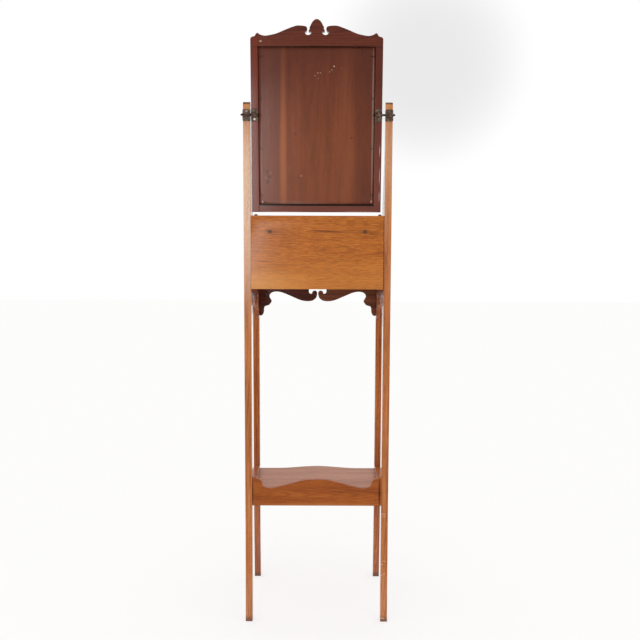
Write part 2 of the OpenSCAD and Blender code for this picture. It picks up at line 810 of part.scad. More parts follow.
brad_r = 0.8;
brad_out = bevel_w + 3;                     // length of brad over the backboard
brad_in = 6;                                // length of brad in the frame
brad_y = board_y + board_t + brad_r + glue_gap;
brad_z = [for (t = [0.06, 0.36, 0.68, 0.94]) open_z[0] + t * (open_z[1] - open_z[0])];

module brads(gap) {
    for (z = brad_z)
        translate([0, brad_y, z]) rod(brad_r + gap, [stile_in - brad_out, stile_in + brad_in + gap]);
}

// Stile with a rebate behind its lip
module mirror_stile(s) {
    z = [-mirror_below, mirror_above];
    color(stained) hang() on_side(s) difference() {
        union() {
            block([stile_in, frame_half], [frame_front, frame_back], z);
            block([sight, stile_in + 1], [frame_front, glass_y], z);
        }
        for (i = [0, 1]) frame_tenons(i, glue_gap);
        brads(glue_gap / 2);
        translate([frame_half - frame_corner_r, 0, mirror_above - frame_corner_r])
            face_board(frame_front - 1, frame_t + 2) difference() {
                square(frame_corner_r + 1);
                circle(frame_corner_r, $fn = round_fn);
            }
        for (k = [-1, 1])
            translate([stile_mid, frame_back, k * screw_pitch]) rotate([90, 0, 0])
                cylinder(r = screw_r + glue_gap, h = stile_screw_l, $fn = round_fn);
    }
}

module mirror_bottom_rail() {
    color(stained) hang() {
        block([-stile_in, stile_in], [glass_y, frame_back], [-mirror_below, open_z[0]]);
        block([-sight, sight], [frame_front, glass_y + 1], [-mirror_below, open_z[0] - 1]);
        block([-sight, sight], [frame_front, glass_y], [-mirror_below, open_z[0] + lip_w]);
        for (s = [left, right]) on_side(s) frame_tenons(0, 0);
    }
}

crest_low = 2.2;            // height of the crest where it is lowest, near its ends
crest_cusp = 20;            // the cusps from the frame's ends
crest_end = 9.5;            // the crest's foot from the frame's ends

// Half of the crest above the shoulders: swan neck, scroll, eye and leaf
module crest_outline() {
    scroll_r = 7.8;
    scroll = [33, neck_h - 1.1 - scroll_r];
    eye = [23.2, 13.2];
    crest_eye_r = 9.2;
    cusp = [frame_half - crest_cusp, 9.3];
    neck = [[0, 0.96], [0.095, 1], [0.2, 0.955], [0.41, 0.59], [0.6, 0.22], [0.77, 0.035],
            [0.86, 0], [0.95, 0.11]];
    difference() {
        polygon(concat(
            [[0, 0], [0, eye[1]], [scroll[0], eye[1]]],
            curve(concat(run(neck, [scroll[0], cusp[0]], [crest_low, neck_h]), [cusp])),
            curve(concat([cusp], run([[0.23, 8.5], [0.52, 5.8], [0.69, 2.2], [1, 0]],
                                     [cusp[0], frame_half - crest_end], [0, 1])), 3)));
        translate(eye) circle(crest_eye_r, $fn = round_fn);
    }
    translate(scroll) circle(scroll_r, $fn = round_fn);
    // The leaf's edge has three lobes, each over the next
    polygon(concat([[0, 0], [13, 8]],
        curve([[14, 12.4], [19.8, 12], [21.8, 13.4], [20.6, 17], [19, 19.4]], 4),
        curve([[19, 19.4], [19.2, 22.5], [18.6, 25.4], [16.6, 28]], 4),
        curve([[16.6, 28], [15.3, 31.5], [13.5, finial_h - 10], [9.9, finial_h - 5],
               [5, finial_h - 1.3], [0, finial_h]])));
}

module mirror_crest_rail() {
    color(stained) hang() {
        block([-stile_in, stile_in], [glass_y, frame_back], [open_z[1], mirror_above]);
        block([-sight, sight], [frame_front, glass_y + 1], [open_z[1] + 1, mirror_above]);
        block([-sight, sight], [frame_front, glass_y], [open_z[1] - lip_w, mirror_above]);
        translate([0, 0, mirror_above]) face_board(frame_back - crest_t, crest_t) {
            crest_outline();
            mirror([1, 0]) crest_outline();
        }
        for (s = [left, right]) on_side(s) frame_tenons(1, 0);
    }
}

module mirror_glass() {
    half = stile_in - glass_gap;
    color("silver") hang()
        block([-half, half], [glass_y, board_y], [open_z[0] + glass_gap, open_z[1] - glass_gap]);
}

// Full at the field and thin at its bevelled edges: the same section both ways
module mirror_backboard() {
    half = stile_in - glass_gap;
    z = [open_z[0] + glass_gap, open_z[1] - glass_gap];
    back = board_y + board_t;
    edge = board_y + bevel_edge_t;
    color("brown") hang() intersection() {
        translate([0, 0, z[0]]) linear_extrude(z[1] - z[0])
            polygon([[-half, board_y], [half, board_y], [half, edge], [half - bevel_w, back],
                     [bevel_w - half, back], [-half, edge]]);
        side_board(-half, 2 * half)
            polygon([[board_y, z[0]], [edge, z[0]], [back, z[0] + bevel_w],
                     [back, z[1] - bevel_w], [edge, z[1]], [board_y, z[1]]]);
    }
}

module backboard_brads() {
    color(cast) hang() for (s = [left, right]) on_side(s) brads(0);
}

module stile_plate(s) {
    x = [stile_in, frame_half];
    color(cast) hang() on_side(s) difference() {
        union() {
            cast_plate(stile_mid, stile_w, stile_plate_h, frame_back);
            barrel(x, plate_t - pivot_out);
        }
        rod(pin_r + glue_gap / 5, [stile_in - 1, frame_half + 1]);
        for (k = [-1, 1])
            translate([stile_mid, plate_t + frame_back, k * screw_pitch]) screw(plate_t + 1, glue_gap);
    }
}

module stile_plate_screws() {
    color(cast) hang() for (s = [left, right], k = [-1, 1])
        translate([s * stile_mid, frame_back + plate_t, k * screw_pitch]) screw(stile_screw_l);
}

pin_back = 5;               // length of pin that shows inside each stile

// Pin fixed in the stile's barrel; it turns in the post's barrel and shows beyond it
module pivot_pin(s) {
    end = half_w + plate_over + pin_tip - s * mirror_offset;
    color(cast) hang() on_side(s) {
        rod(pin_r, [stile_in - pin_back, end - pin_r]);
        translate([end - pin_r, 0, 0]) sphere(pin_r, $fn = round_fn);
    }
}

// ---------------------------------------------------------------- the stand

rear_leg(left);  // rear_leg_left
rear_leg(right);  // rear_leg_right
front_leg(left);  // front_leg_left
front_leg(right);  // front_leg_right
cabinet_top();
cabinet_bottom();
cabinet_side(left);  // cabinet_side_left
cabinet_side(right);  // cabinet_side_right
cabinet_back();
back_cleat();
back_screws();
drawer_divider();
upper_runner(left);  // upper_runner_left
upper_runner(right);  // upper_runner_right
lower_guide(left);  // lower_guide_left
lower_guide(right);  // lower_guide_right
drawer_stops();
front_apron(left);  // front_apron_left
front_apron(right);  // front_apron_right
side_apron(left);  // side_apron_left
side_apron(right);  // side_apron_right
apron_glue_blocks();
corner_finial(left);  // corner_finial_left
corner_finial(right);  // corner_finial_right
shelf_board();
shelf_back_rail();
shelf_side_rail(left);  // shelf_side_rail_left
shelf_side_rail(right);  // shelf_side_rail_right
post_bracket(left);  // post_bracket_left
post_bracket(right);  // post_bracket_right
post_bracket_screws();
mirror_stile(left);  // mirror_stile_left
mirror_stile(right);  // mirror_stile_right
mirror_bottom_rail();
mirror_crest_rail();
mirror_glass();
mirror_backboard();
backboard_brads();
stile_plate(left);  // stile_plate_left
stile_plate(right);  // stile_plate_right
stile_plate_screws();
pivot_pin(left);  // pivot_pin_left
pivot_pin(right);  // pivot_pin_right
drawer_front(upper);  // upper_drawer_front
drawer_side(upper, left);  // upper_drawer_side_left
drawer_side(upper, right);  // upper_drawer_side_right
drawer_back(upper);  // upper_drawer_back
drawer_bottom(upper);  // upper_drawer_bottom
drawer_knobs(upper);  // upper_drawer_knobs
drawer_front(lower);  // lower_drawer_front
drawer_side(lower, left);  // lower_drawer_side_left
drawer_side(lower, right);  // lower_drawer_side_right
drawer_back(lower);  // lower_drawer_back
drawer_bottom(lower);  // lower_drawer_bottom
drawer_knobs(lower);  // lower_drawer_knobs
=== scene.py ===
# An oak shaving stand of about 1900, seen from behind: a swing mirror between two tall
# posts, a small cabinet of two drawers, and a galleried shelf on sabre legs.
import math

import bmesh
import bpy
from mathutils import Matrix, Vector


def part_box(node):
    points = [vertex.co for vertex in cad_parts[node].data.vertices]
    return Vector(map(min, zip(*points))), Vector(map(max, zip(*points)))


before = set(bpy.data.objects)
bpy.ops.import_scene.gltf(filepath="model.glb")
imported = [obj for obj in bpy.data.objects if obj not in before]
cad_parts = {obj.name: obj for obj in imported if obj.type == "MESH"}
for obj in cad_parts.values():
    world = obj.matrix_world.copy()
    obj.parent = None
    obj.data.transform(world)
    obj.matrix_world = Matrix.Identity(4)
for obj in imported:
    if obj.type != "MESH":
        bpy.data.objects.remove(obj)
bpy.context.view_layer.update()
MM = 0.001

# ------------------------------------------------------------------ the view
# The photographer stood two metres behind the stand with the lens at elbow height, and
# held the camera a little nose down. Pixels are of a 640 by 640 picture.
PICTURE_PX = 640
MIDDLE_PX = PICTURE_PX / 2
LENS_PX = 737.7
SENSOR = 36
CAMERA_AT = Vector((-0.0076, 2.1861, 1.0610))
NOSE_DOWN = math.radians(5.357)
ROLL = math.radians(0.19)

ahead = Vector((0, -math.cos(NOSE_DOWN), -math.sin(NOSE_DOWN)))
level = Vector((-1, 0, 0))
upright = Vector((0, -math.sin(NOSE_DOWN), math.cos(NOSE_DOWN)))
rightward = level * math.cos(ROLL) + upright * math.sin(ROLL)
upward = upright * math.cos(ROLL) - level * math.sin(ROLL)

lens = bpy.data.cameras.new("camera")
lens.sensor_width = SENSOR
lens.lens = LENS_PX / PICTURE_PX * SENSOR
camera = bpy.data.objects.new("camera", lens)
camera.matrix_world = Matrix.Translation(CAMERA_AT) @ Matrix(
    (rightward, upward, -ahead)).transposed().to_4x4()
bpy.context.scene.collection.objects.link(camera)
bpy.context.scene.camera = camera


def sight_line(px, py):
    """The way from the lens through a pixel, its length not 1."""
    return ahead + rightward * (px - MIDDLE_PX) / LENS_PX + upward * (MIDDLE_PX - py) / LENS_PX


def seen_at(px, py, y):
    """The X and Z, in metres, where the sight line through a pixel meets the plane at y."""
    ray = sight_line(px, py)
    point = CAMERA_AT + ray * (y - CAMERA_AT.y) / ray.y
    return point.x, point.z


# ------------------------------------------------------------------ the studio
# A white paper backdrop and sweep in a dim room. What shines in the varnish is the paper
# beyond the stand, the dim room behind the camera, and a large soft lamp beside the camera.
bpy.context.scene.view_settings.view_transform = "Standard"


def linear(text):
    """The linear colour of an sRGB hex value."""
    parts = [int(text[i:i + 2], 16) / 255 for i in (0, 2, 4)]
    return [v / 12.92 if v <= 0.04045 else ((v + 0.055) / 1.055) ** 2.4 for v in parts] + [1]


def add(tree, kind, inputs=None, out=0, **settings):
    """Adds a node with its settings and links, and gives one output, or the node."""
    shading = not kind.startswith(("GeometryNode", "NodeGroup"))
    made = tree.nodes.new("ShaderNode" + kind if shading else kind)
    for key, value in settings.items():
        setattr(made, key, value)
    for key, value in (inputs or {}).items():
        if isinstance(value, bpy.types.NodeSocket):
            tree.links.new(value, made.inputs[key])
        else:
            made.inputs[key].default_value = value
    return made if out is None else made.outputs[out]


WHITE = (1, 1, 1, 1)
TENT = 0.80                 # the even light on the stand, where 1 is white
ROOM = 0.07                 # what the varnish mirrors of the room behind the camera
ROOM_ENDS, PAPER_STARTS = 0.15, -0.35       # the Y of a mirrored ray that meets each
GREY_PX, GREY_WIDTH = (425, 66), math.radians(8)
GREY = 0.82                 # how bright the paper is in its grey place
LAMP_W = 5
LAMP_SIZE = (0.62, 0.85)
LAMP_AT, LAMP_AIM = Vector((0.63, 2.5, 1.25)), Vector((0, 0.1, 1.1))
SWEEP_TONE, SWEEP_GLOW = "F2F0EE", 1.165
GLOW_SHARE = 0.6            # of the sweep as the camera and the varnish see it
SWEEP_HALF, SWEEP_BEHIND = 7, 6.5
UNDERFOOT = 0.2             # the sweep lies this far under the feet, in mm

world = bpy.data.worlds.new("backdrop")
world.use_nodes = True
bpy.context.scene.world = world
tree = world.node_tree
ray = add(tree, "LightPath", out=None).outputs
towards = add(tree, "TexCoord", out="Generated")
depth = add(tree, "SeparateXYZ", {0: towards}, out="Y")
mirrored = add(tree, "MapRange", {"Value": depth, "From Min": ROOM_ENDS,
                                  "From Max": PAPER_STARTS, "To Min": ROOM, "To Max": 1.0},
               interpolation_type="SMOOTHSTEP")
# The paper goes softly grey beyond the mirror's right: a painted shade on the backdrop
grey_way = sight_line(*GREY_PX).normalized()
greyed = add(tree, "VectorMath", {0: towards, 1: grey_way}, out="Value", operation="DOT_PRODUCT")
paper = add(tree, "MapRange", {"Value": greyed, "From Min": math.cos(GREY_WIDTH), "From Max": 1.0,
                               "To Min": 1.0, "To Max": GREY}, interpolation_type="SMOOTHSTEP")
strength = add(tree, "Mix", {0: ray["Is Glossy Ray"], 2: TENT, 3: mirrored})
strength = add(tree, "Mix", {0: ray["Is Camera Ray"], 2: strength, 3: paper})
tree.links.new(add(tree, "Background", {"Color": WHITE, "Strength": strength}),
               tree.nodes["World Output"].inputs["Surface"])

light = bpy.data.lights.new("soft_lamp", "AREA")
light.energy = LAMP_W
light.shape = "RECTANGLE"
light.size, light.size_y = LAMP_SIZE
lamp = bpy.data.objects.new("soft_lamp", light)
lamp.matrix_world = Matrix.Translation(LAMP_AT) @ (
    (LAMP_AIM - LAMP_AT).to_track_quat("-Z", "Y").to_matrix().to_4x4())
bpy.context.scene.collection.objects.link(lamp)

sheet = bpy.data.materials.new("paper_sweep")
sheet.use_nodes = True
tree = sheet.node_tree
ray = add(tree, "LightPath", out=None).outputs
seen = add(tree, "Math", {0: ray["Is Camera Ray"], 1: ray["Is Glossy Ray"]}, operation="MAXIMUM")
seen = add(tree, "Math", {0: seen, 1: GLOW_SHARE}, operation="MULTIPLY")
matt = add(tree, "BsdfDiffuse", {"Color": linear(SWEEP_TONE)})
glow = add(tree, "Emission", {"Color": WHITE, "Strength": SWEEP_GLOW})
tree.links.new(add(tree, "MixShader", {0: seen, 1: matt, 2: glow}),
               tree.nodes["Material Output"].inputs["Surface"])
sweep = bmesh.new()
bmesh.ops.create_grid(sweep, x_segments=1, y_segments=1, size=SWEEP_HALF)
bmesh.ops.translate(sweep, verts=sweep.verts, vec=(0, -SWEEP_BEHIND, 0))
floor_mesh = bpy.data.meshes.new("floor")
sweep.to_mesh(floor_mesh)
floor = bpy.data.objects.new("floor", floor_mesh)
floor.location.z = -UNDERFOOT * MM
floor_mesh.materials.append(sheet)
bpy.context.scene.collection.objects.link(floor)

# ------------------------------------------------------------------ legs and posts
# Four golden oak boards, ring-porous and rather straight in the grain, sanded and
# varnished. The feet have gone dark; the tall posts are paler higher up, partly rubbed
# by hands and partly a painted sheen.


def board_coordinates(tree, node, grain, face):
    """Millimetres from a board's middle: along the grain, across the face, through it."""
    low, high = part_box(node)
    middle = (low + high) / 2 / MM
    place = add(tree, "Mapping", {"Vector": add(tree, "TexCoord", out="Object"),
                                  "Location": -middle, "Scale": (1 / MM,) * 3})
    parts = add(tree, "SeparateXYZ", {0: place}, out=None).outputs
    across = ({"X", "Y", "Z"} - {grain, face}).pop()
    return parts[grain], parts[across], parts[face]


# How fine the wood's patterns are, in cells to the millimetre across the grain
SWAY = 0.035                # the fibres sway every 29 mm or so
CLOUD = 0.05                # slow changes of tone, 20 mm wide
THREAD = 0.42               # streaks 2.4 mm wide, some five times the real ones, so that they show
ALONG = 0.07                # all three are 14 times as long as they are wide
PORE_LENGTH, PORE_WIDTH = 0.11, 1.5         # pores 9 by 0.7 mm, two or three times the real ones
RAY_ALONG, RAY_ACROSS, RAY_DEEP = 0.20, 0.055, 0.2      # ribbons 5 mm by 18 mm, as in the real wood
GRAIN_STEP = 731.0          # how far apart along the grain two seeds' boards lie, in mm
RUBBED_EDGE = 1.6           # how far an arris is rubbed pale, in mm


def wood(name, node, grain, face, tones, pore, ring=5.5, heart=(6, 40), lean=0.04, sway=9,
         figure=0.28, streak=0.4, blotch=0.35, pores=0.5, fleck=0, rough=0.5, coat=1.0,
         worn=0.25, seed=0, marks=None):
    """A board of a ring-porous or plain wood, varnished.

    tones are its light, middle and dark colours and pore the colour in its pores. ring is
    a year's width in mm, two or three times the real one, so that it shows. heart is how
    far the tree's heart lies from the board's middle, across and through it, and lean how
    fast it wanders along the board, which opens the arches of a flat-sawn face. sway bends
    the fibres by so many mm. figure, streak and blotch are the shares of the rings, the
    streaks and the slow changes in the tone, pores and fleck how strong pores and rays
    show, and worn how far the arrises have gone pale. marks lays a board's own marks on it.
    """
    material = bpy.data.materials.new(name)
    material.use_nodes = True
    tree = material.node_tree
    shader = tree.nodes["Principled BSDF"]
    along, across, through = board_coordinates(tree, node, grain, face)
    shift = add(tree, "Math", {0: along, 1: GRAIN_STEP * seed}, operation="ADD")
    fibre = add(tree, "CombineXYZ", {0: add(tree, "Math", {0: shift, 1: ALONG}, operation="MULTIPLY"),
                                     1: across, 2: through})

    # Rings round the heart, which the fibres' sway bends
    wander = add(tree, "Math", {0: along, 1: lean, 2: -heart[1]}, operation="MULTIPLY_ADD")
    spoke = add(tree, "CombineXYZ", {1: add(tree, "Math", {0: across, 1: -heart[0]}, operation="ADD"),
                                     2: add(tree, "Math", {0: through, 1: wander}, operation="ADD")})
    bend = add(tree, "TexNoise", {"Vector": fibre, "Scale": SWAY, "Detail": 3.0}, out="Color")
    bend = add(tree, "VectorMath", {0: bend, 1: (0.5, 0.5, 0.5)}, operation="SUBTRACT")
    bend = add(tree, "VectorMath", {0: bend, "Scale": sway * 2}, operation="SCALE")
    spoke = add(tree, "VectorMath", {0: spoke, 1: bend}, operation="ADD")
    spoke = add(tree, "VectorMath", {0: spoke, 1: (0, 1, 1)}, operation="MULTIPLY")
    radius = add(tree, "VectorMath", {0: spoke}, out="Value", operation="LENGTH")
    turn = add(tree, "Math", {0: radius, 1: 1 / ring}, operation="MULTIPLY")
    turn = add(tree, "Math", {0: turn}, operation="FRACT")
    year = add(tree, "ValToRGB", {0: turn}, out=None)
    year.color_ramp.interpolation = "EASE"
    # A year starts with its open wood and ends with its dense wood
    for share, open_wood in ((0.13, 1.0), (0.46, 0.12), (0.85, 0.0)):
        year.color_ramp.elements.new(share).color = (open_wood,) * 3 + (1,)
    year.color_ramp.elements[0].color = year.color_ramp.elements[-1].color = (0.5, 0.5, 0.5, 1)
    year = year.outputs[0]

    # Streaks along the fibres and slow changes of tone
    fine = add(tree, "TexNoise", {"Vector": fibre, "Scale": THREAD, "Detail": 5.0, "Roughness": 0.65})
    slow = add(tree, "TexNoise", {"Vector": fibre, "Scale": CLOUD, "Detail": 2.0})
    tone = add(tree, "Math", {0: year, 1: figure, 2: 0.5 - figure * 0.35}, operation="MULTIPLY_ADD")
    fine_part = add(tree, "Math", {0: fine, 1: streak * 1.6, 2: -streak * 0.8}, operation="MULTIPLY_ADD")
    slow_part = add(tree, "Math", {0: slow, 1: blotch * 2, 2: -blotch}, operation="MULTIPLY_ADD")
    tone = add(tree, "Math", {0: tone, 1: fine_part}, operation="ADD")
    tone = add(tree, "Math", {0: tone, 1: slow_part}, operation="ADD")
    ramp = add(tree, "ValToRGB", {0: tone}, out=None)
    ramp.color_ramp.elements[0].color = linear(tones[0])
    ramp.color_ramp.elements[1].color = linear(tones[2])
    ramp.color_ramp.elements.new(0.5).color = linear(tones[1])
    colour = ramp.outputs[0]

    # Open pores, thickest in the first wood of each year
    dash = add(tree, "CombineXYZ",
               {0: add(tree, "Math", {0: shift, 1: PORE_LENGTH}, operation="MULTIPLY"),
                1: add(tree, "Math", {0: across, 1: PORE_WIDTH}, operation="MULTIPLY"),
                2: add(tree, "Math", {0: through, 1: PORE_WIDTH}, operation="MULTIPLY")})
    dash = add(tree, "TexNoise", {"Vector": dash, "Scale": 1.0, "Detail": 1.0})
    dash = add(tree, "MapRange", {"Value": dash, "From Min": 0.56, "From Max": 0.68})
    crowd = add(tree, "Math", {0: year, 1: 0.6, 2: 0.4}, operation="MULTIPLY_ADD")
    dash = add(tree, "Math", {0: dash, 1: crowd}, operation="MULTIPLY")
    open_pore = add(tree, "Math", {0: dash, 1: pores}, operation="MULTIPLY")
    colour = add(tree, "MixRGB", {"Fac": open_pore, "Color1": colour, "Color2": linear(pore)})

    if fleck:       # rays laid open by quarter sawing: pale ribbons across the grain
        ribbon = add(tree, "CombineXYZ",
                     {0: add(tree, "Math", {0: shift, 1: RAY_ALONG}, operation="MULTIPLY"),
                      1: add(tree, "Math", {0: across, 1: RAY_ACROSS}, operation="MULTIPLY"),
                      2: add(tree, "Math", {0: through, 1: RAY_DEEP}, operation="MULTIPLY")})
        ribbon = add(tree, "TexNoise", {"Vector": ribbon, "Scale": 1.0, "Detail": 3.0, "Distortion": 0.8})
        ribbon = add(tree, "MapRange", {"Value": ribbon, "From Min": 0.57, "From Max": 0.64,
                                        "To Max": fleck})
        colour = add(tree, "MixRGB", {"Fac": ribbon, "Color1": colour, "Color2": linear(tones[0])})

    if worn:        # arrises rubbed pale
        edge = add(tree, "Bevel", {"Radius": RUBBED_EDGE * MM}, samples=4)
        facing = add(tree, "NewGeometry", out="Normal")
        edge = add(tree, "VectorMath", {0: edge, 1: facing}, out="Value", operation="DOT_PRODUCT")
        edge = add(tree, "MapRange", {"Value": edge, "From Min": 0.985, "From Max": 0.80,
                                      "To Max": worn})
        edge = add(tree, "Math", {0: edge, 1: fine}, operation="MULTIPLY")
        colour = add(tree, "MixRGB", {"Fac": edge, "Color1": colour, "Color2": linear(tones[0])})

    if marks:
        colour = marks(tree, colour, (along, across, through))

    height = add(tree, "Math", {0: dash, 1: -1.0, 2: fine}, operation="MULTIPLY_ADD")
    bump = add(tree, "Bump", {"Height": height, "Strength": 0.35, "Distance": 0.25 * MM})
    gloss = add(tree, "MapRange", {"Value": slow, "From Min": 0.3, "From Max": 0.7,
                                   "To Min": rough - 0.05, "To Max": rough + 0.07})
    for socket, value in (("Base Color", colour), ("Roughness", gloss), ("Normal", bump)):
        tree.links.new(value, shader.inputs[socket])
    shader.inputs["Specular IOR Level"].default_value = 0.2
    shader.inputs["Coat Weight"].default_value = coat
    shader.inputs["Coat Roughness"].default_value = VARNISH_ROUGH
    tree.links.new(add(tree, "Bump", {"Height": height, "Strength": 0.12, "Distance": 0.2 * MM}),
                   shader.inputs["Coat Normal"])
    return material


SHARP = math.radians(60)
FLAT = math.radians(0.5)
RIM = 0.8                   # the rims of screw holes and bores have shorter edges than this
SAME_POINT = 0.01           # corners this near are one, in mm


def long_sharp_edges():
    """Gives a bevel's weight to a board's sharp edges, but not to the rims of its holes."""
    group = bpy.data.node_groups.new("long_sharp_edges", "GeometryNodeTree")
    for way in ("INPUT", "OUTPUT"):
        group.interface.new_socket("Geometry", in_out=way, socket_type="NodeSocketGeometry")
    ends = add(group, "GeometryNodeInputMeshEdgeVertices", out=None).outputs
    length = add(group, "VectorMath", {0: ends["Position 1"], 1: ends["Position 2"]}, out="Value",
                 operation="DISTANCE")
    length = add(group, "Math", {0: length, 1: RIM * MM}, operation="GREATER_THAN")
    turn = add(group, "GeometryNodeInputMeshEdgeAngle", out="Unsigned Angle")
    turn = add(group, "Math", {0: turn, 1: SHARP}, operation="GREATER_THAN")
    weight = add(group, "Math", {0: length, 1: turn}, operation="MULTIPLY")
    weighed = add(group, "GeometryNodeStoreNamedAttribute",
                  {"Geometry": add(group, "NodeGroupInput"), "Name": "bevel_weight_edge",
                   "Value": weight}, data_type="FLOAT", domain="EDGE")
    add(group, "NodeGroupOutput", {0: weighed}, out=None)
    return group


weigh_edges = long_sharp_edges()


def dress(node, material, arris=0.7, flat=True, rims=False, clamped=False):
    """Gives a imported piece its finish, and eases its arrises by so many millimetres.

    flat joins the triangles of a flat face first, rims eases the rims of holes too, and
    clamped eases less where edges crowd. What is set for a piece keeps it all but free of
    faces that the easing folds over.
    """
    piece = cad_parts[node]
    piece.material_slots[0].link = "OBJECT"
    piece.material_slots[0].material = material
    piece.modifiers.new("weld", "WELD").merge_threshold = SAME_POINT * MM
    if arris and flat:
        joined = piece.modifiers.new("flat", "DECIMATE")
        joined.decimate_type = "DISSOLVE"
        joined.angle_limit = FLAT
    if arris and not rims:
        piece.modifiers.new("weights", "NODES").node_group = weigh_edges
    if arris:
        bevel = piece.modifiers.new("arris", "BEVEL")
        bevel.width = arris * MM
        bevel.segments = 2
        bevel.limit_method = "ANGLE" if rims else "WEIGHT"
        bevel.angle_limit = SHARP
        bevel.use_clamp_overlap = clamped
    piece.modifiers.new("normals", "WEIGHTED_NORMAL").weight = 90


def spot(tree, x, z, x_size, z_size, soft=0.35):
    """A soft-edged patch of the back or front, 1 inside, from its middle in metres."""
    place = add(tree, "Mapping", {"Vector": add(tree, "TexCoord", out="Object"),
                                  "Location": (-x / x_size, 0, -z / z_size),
                                  "Scale": (1 / x_size, 0, 1 / z_size)})
    far = add(tree, "VectorMath", {0: place}, out="Value", operation="LENGTH")
    return add(tree, "MapRange", {"Value": far, "From Min": 1 + soft, "From Max": 1 - soft})


def height_share(tree, low, high):
    """0 below the height low and 1 above the height high, in metres."""
    z = add(tree, "SeparateXYZ", {0: add(tree, "TexCoord", out="Object")}, out="Z")
    return add(tree, "MapRange", {"Value": z, "From Min": low, "From Max": high},
               interpolation_type="SMOOTHSTEP")


OAK = ("E08E50", "C5753D", "A0582B")
# The front legs take a darker copy of the same oak: a painted shade
SHADED_FRONT_OAK = ("D67E38", "B35F28", "854019")
OAK_PORE = "5A3018"
# The posts' pale tone is partly rubbed wood and partly a painted sheen
FOOT_DARK, TOP_DARK, RUBBED_AND_SHEEN = "6A381E", "5A2C10", "EBBE9B"
FOOT_STAIN = (22, 4)        # the dark of the foot fades between these heights, in mm
TOP_BAND = (8.5, 5.5)      # the dark band starts this far under the post's top, in mm
PALE_STARTS = (0.3, 0.1)     # the pale, partly rubbed and partly a painted sheen, sets in so far below and above its height, in metres
PALE_ENDS = (0.06, 0.16)     # and fades out round the post's top
PALE_GRAIN = (600, 600, 110) # it spares the low fibres, which are 1.7 by 9 mm
VARNISH_ROUGH = 0.16
back_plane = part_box("cabinet_back")[1].y
post_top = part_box("rear_leg_left")[1].z


def patches(tree, colour, y, rows, turned=0.35):
    """Lays soft patches over the faces that turn to +Y by more than turned.

    Each row is a pixel, half sizes in mm, a strength, a tone and a softness.
    """
    facing = add(tree, "SeparateXYZ", {0: add(tree, "TexCoord", out="Normal")}, out="Y")
    facing = add(tree, "MapRange", {"Value": facing, "From Min": turned - 0.2, "From Max": turned})
    for px, py, wide, high, strength, tone, soft in rows:
        x, z = seen_at(px, py, y)
        patch = add(tree, "Math", {0: spot(tree, x, z, wide * MM, high * MM, soft), 1: strength},
                    operation="MULTIPLY")
        patch = add(tree, "Math", {0: patch, 1: facing}, operation="MULTIPLY")
        colour = add(tree, "MixRGB", {"Fac": patch, "Color1": colour, "Color2": linear(tone)})
    return colour


def leg_marks(pale, pale_from, scuffs=()):
    """The dark foot, a dark band on top, a paler stretch, partly rubbed and partly a painted sheen, and
    scuffs.

    pale is how strongly the leg is made pale, and pale_from the height where that starts.
    """
    def marks(tree, colour, place):
        foot = height_share(tree, FOOT_STAIN[0] * MM, FOOT_STAIN[1] * MM)
        foot = add(tree, "Math", {0: foot, 1: 0.75}, operation="MULTIPLY")
        colour = add(tree, "MixRGB", {"Fac": foot, "Color1": colour, "Color2": linear(FOOT_DARK)})
        # Paler higher up the post: partly rubbed, partly a painted sheen
        rubbed_and_sheen = height_share(tree, pale_from - PALE_STARTS[0], pale_from + PALE_STARTS[1])
        upper = height_share(tree, post_top + PALE_ENDS[0], post_top - PALE_ENDS[1])
        rubbed_and_sheen = add(tree, "Math", {0: rubbed_and_sheen, 1: upper}, operation="MULTIPLY")
        fibres = add(tree, "Mapping", {"Vector": add(tree, "TexCoord", out="Object"),
                                       "Scale": PALE_GRAIN})
        fibres = add(tree, "TexNoise", {"Vector": fibres, "Scale": 1.0, "Detail": 4.0,
                                        "Roughness": 0.7})
        fibres = add(tree, "Math", {0: fibres, 1: 2.4 * pale, 2: -0.25 * pale},
                     operation="MULTIPLY_ADD", use_clamp=True)
        rubbed_and_sheen = add(tree, "Math", {0: rubbed_and_sheen, 1: fibres}, operation="MULTIPLY")
        colour = add(tree, "MixRGB", {"Fac": rubbed_and_sheen, "Color1": colour, "Color2": linear(RUBBED_AND_SHEEN)})
        dark_top = height_share(tree, post_top - TOP_BAND[0] * MM, post_top - TOP_BAND[1] * MM)
        colour = add(tree, "MixRGB", {"Fac": dark_top, "Color1": colour, "Color2": linear(TOP_DARK)})
        return patches(tree, colour, back_plane, scuffs)
    return marks


# The picture's left is the stand's right. Both posts are bright under their dark tops,
# and the other one is scuffed across under the shelf and at its foot.
SCUFF, BRIGHT_TOP = "EFCDAE", "E39A50"
RIGHT_POST_MARKS = ((247.6, 106.5, 12, 8, 0.5, BRIGHT_TOP, 0.4),)
LEFT_POST_MARKS = (
    (388, 106.5, 12, 8, 0.5, BRIGHT_TOP, 0.4),
    (383, 514, 9, 1.1, 0.6, SCUFF, 0.35), (383.4, 516.4, 7, 0.9, 0.5, SCUFF, 0.35),
    (381.5, 564, 5, 1.2, 0.5, SCUFF, 0.35), (384, 561, 5, 1.2, 0.5, SCUFF, 0.35),
    (381, 575, 5, 1.2, 0.45, SCUFF, 0.35), (383.5, 573.4, 4, 1.2, 0.45, SCUFF, 0.35),
    (380.8, 616.5, 2.4, 1.5, 0.9, SCUFF, 0.35), (383, 616.8, 2.4, 1.5, 0.8, SCUFF, 0.35))
dress("rear_leg_right", wood("oak_rear_leg_right", "rear_leg_right", "Z", "X", OAK, OAK_PORE,
                             heart=(60, 25), lean=0.02, figure=0.34, streak=0.85, blotch=0.7, seed=1,
                             marks=leg_marks(0.85, 1.10, RIGHT_POST_MARKS)))
